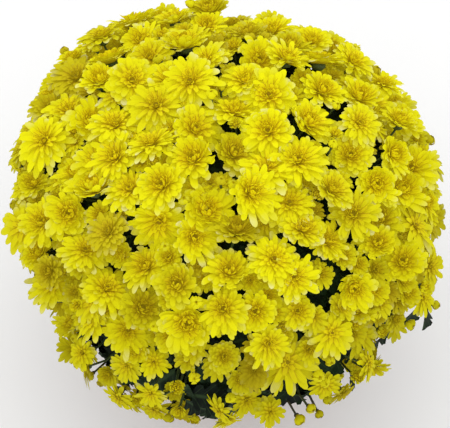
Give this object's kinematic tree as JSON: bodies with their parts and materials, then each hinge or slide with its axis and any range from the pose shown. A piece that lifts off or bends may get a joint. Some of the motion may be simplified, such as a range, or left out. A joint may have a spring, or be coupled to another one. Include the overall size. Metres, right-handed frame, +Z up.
{
  "type": "pot chrysanthemum",
  "caption": "Mounded pot plant: a dense round dome of double yellow flower heads on branching leafy stems, growing in soil in a plain tapered pot.",
  "frame": {"origin": "middle of the pot's flat underside", "axes": "+Z up along the pot's axis; the plant looks alike from all sides, and the picture's camera stands on the -Y side, looking along +Y and down"},
  "size_m": [0.4378, 0.4422, 0.4364],
  "materials": {
    "petals": "matte",
    "foliage": "satin",
    "pot": "satin",
    "soil": "matte"
  },
  "bodies": {
    "root": {"blooms_01": "petals", "blooms_02": "petals", "blooms_03": "petals", "blooms_04": "petals", "blooms_05": "petals", "blooms_06": "petals", "blooms_07": "petals", "blooms_08": "petals", "blooms_09": "petals", "blooms_10": "petals", "blooms_11": "petals", "blooms_12": "petals", "blooms_13": "petals", "blooms_14": "petals", "blooms_15": "petals", "blooms_16": "petals", "blooms_17": "petals", "blooms_18": "petals", "blooms_19": "petals", "blooms_20": "petals", "blooms_21": "petals", "blooms_22": "petals", "blooms_23": "petals", "blooms_24": "petals", "blooms_25": "petals", "blooms_26": "petals", "blooms_27": "petals", "blooms_28": "petals", "blooms_29": "petals", "blooms_30": "petals", "blooms_31": "petals", "blooms_32": "petals", "blooms_33": "petals", "blooms_34": "petals", "blooms_35": "petals", "blooms_36": "petals", "leafy_stems_1": "foliage", "leafy_stems_2": "foliage", "leafy_stems_3": "foliage", "leafy_stems_4": "foliage", "pot": "pot", "potting_soil": "soil"}
  },
  "joints": []
}
